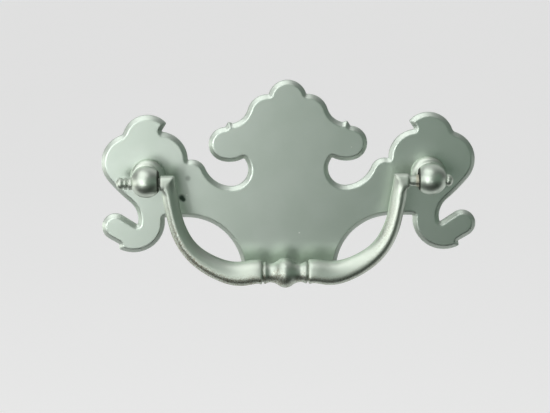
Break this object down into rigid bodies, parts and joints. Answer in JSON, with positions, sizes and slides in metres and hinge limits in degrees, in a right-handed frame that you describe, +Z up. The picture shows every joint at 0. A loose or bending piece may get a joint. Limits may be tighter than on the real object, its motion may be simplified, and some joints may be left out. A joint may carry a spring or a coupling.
{
  "type": "drawer pull",
  "caption": "Batwing bail pull: a scrolled bevelled backplate, ball posts with studs and a swinging bail with a turned grip.",
  "frame": {"origin": "midway between the two posts, on the back face of the plate, where it meets the drawer front", "axes": "+X to the right of someone facing the drawer, +Y into the drawer along the studs, +Z up"},
  "size_m": [0.1022, 0.0415, 0.0551],
  "materials": {
    "plate_metal": "satin nickel, rolled plate with fine specks",
    "post_metal": "satin nickel, turned",
    "bail_metal": "satin nickel, cast and worn",
    "zinc_steel": "bright zinc plated"
  },
  "bodies": {
    "mounting": {"backplate": "plate_metal", "left_post": "post_metal", "right_post": "post_metal", "left_washer": "zinc_steel", "right_washer": "zinc_steel", "left_nut": "zinc_steel", "right_nut": "zinc_steel"},
    "bail": {"bail": "bail_metal"}
  },
  "joints": [
    {"name": "bail_swing", "type": "hinge", "parent": "mounting", "child": "bail", "pos_m": [0, -0.0106, -0.00045], "axis": [-1, 0, 0], "range_deg": [-11, 191]}
  ]
}
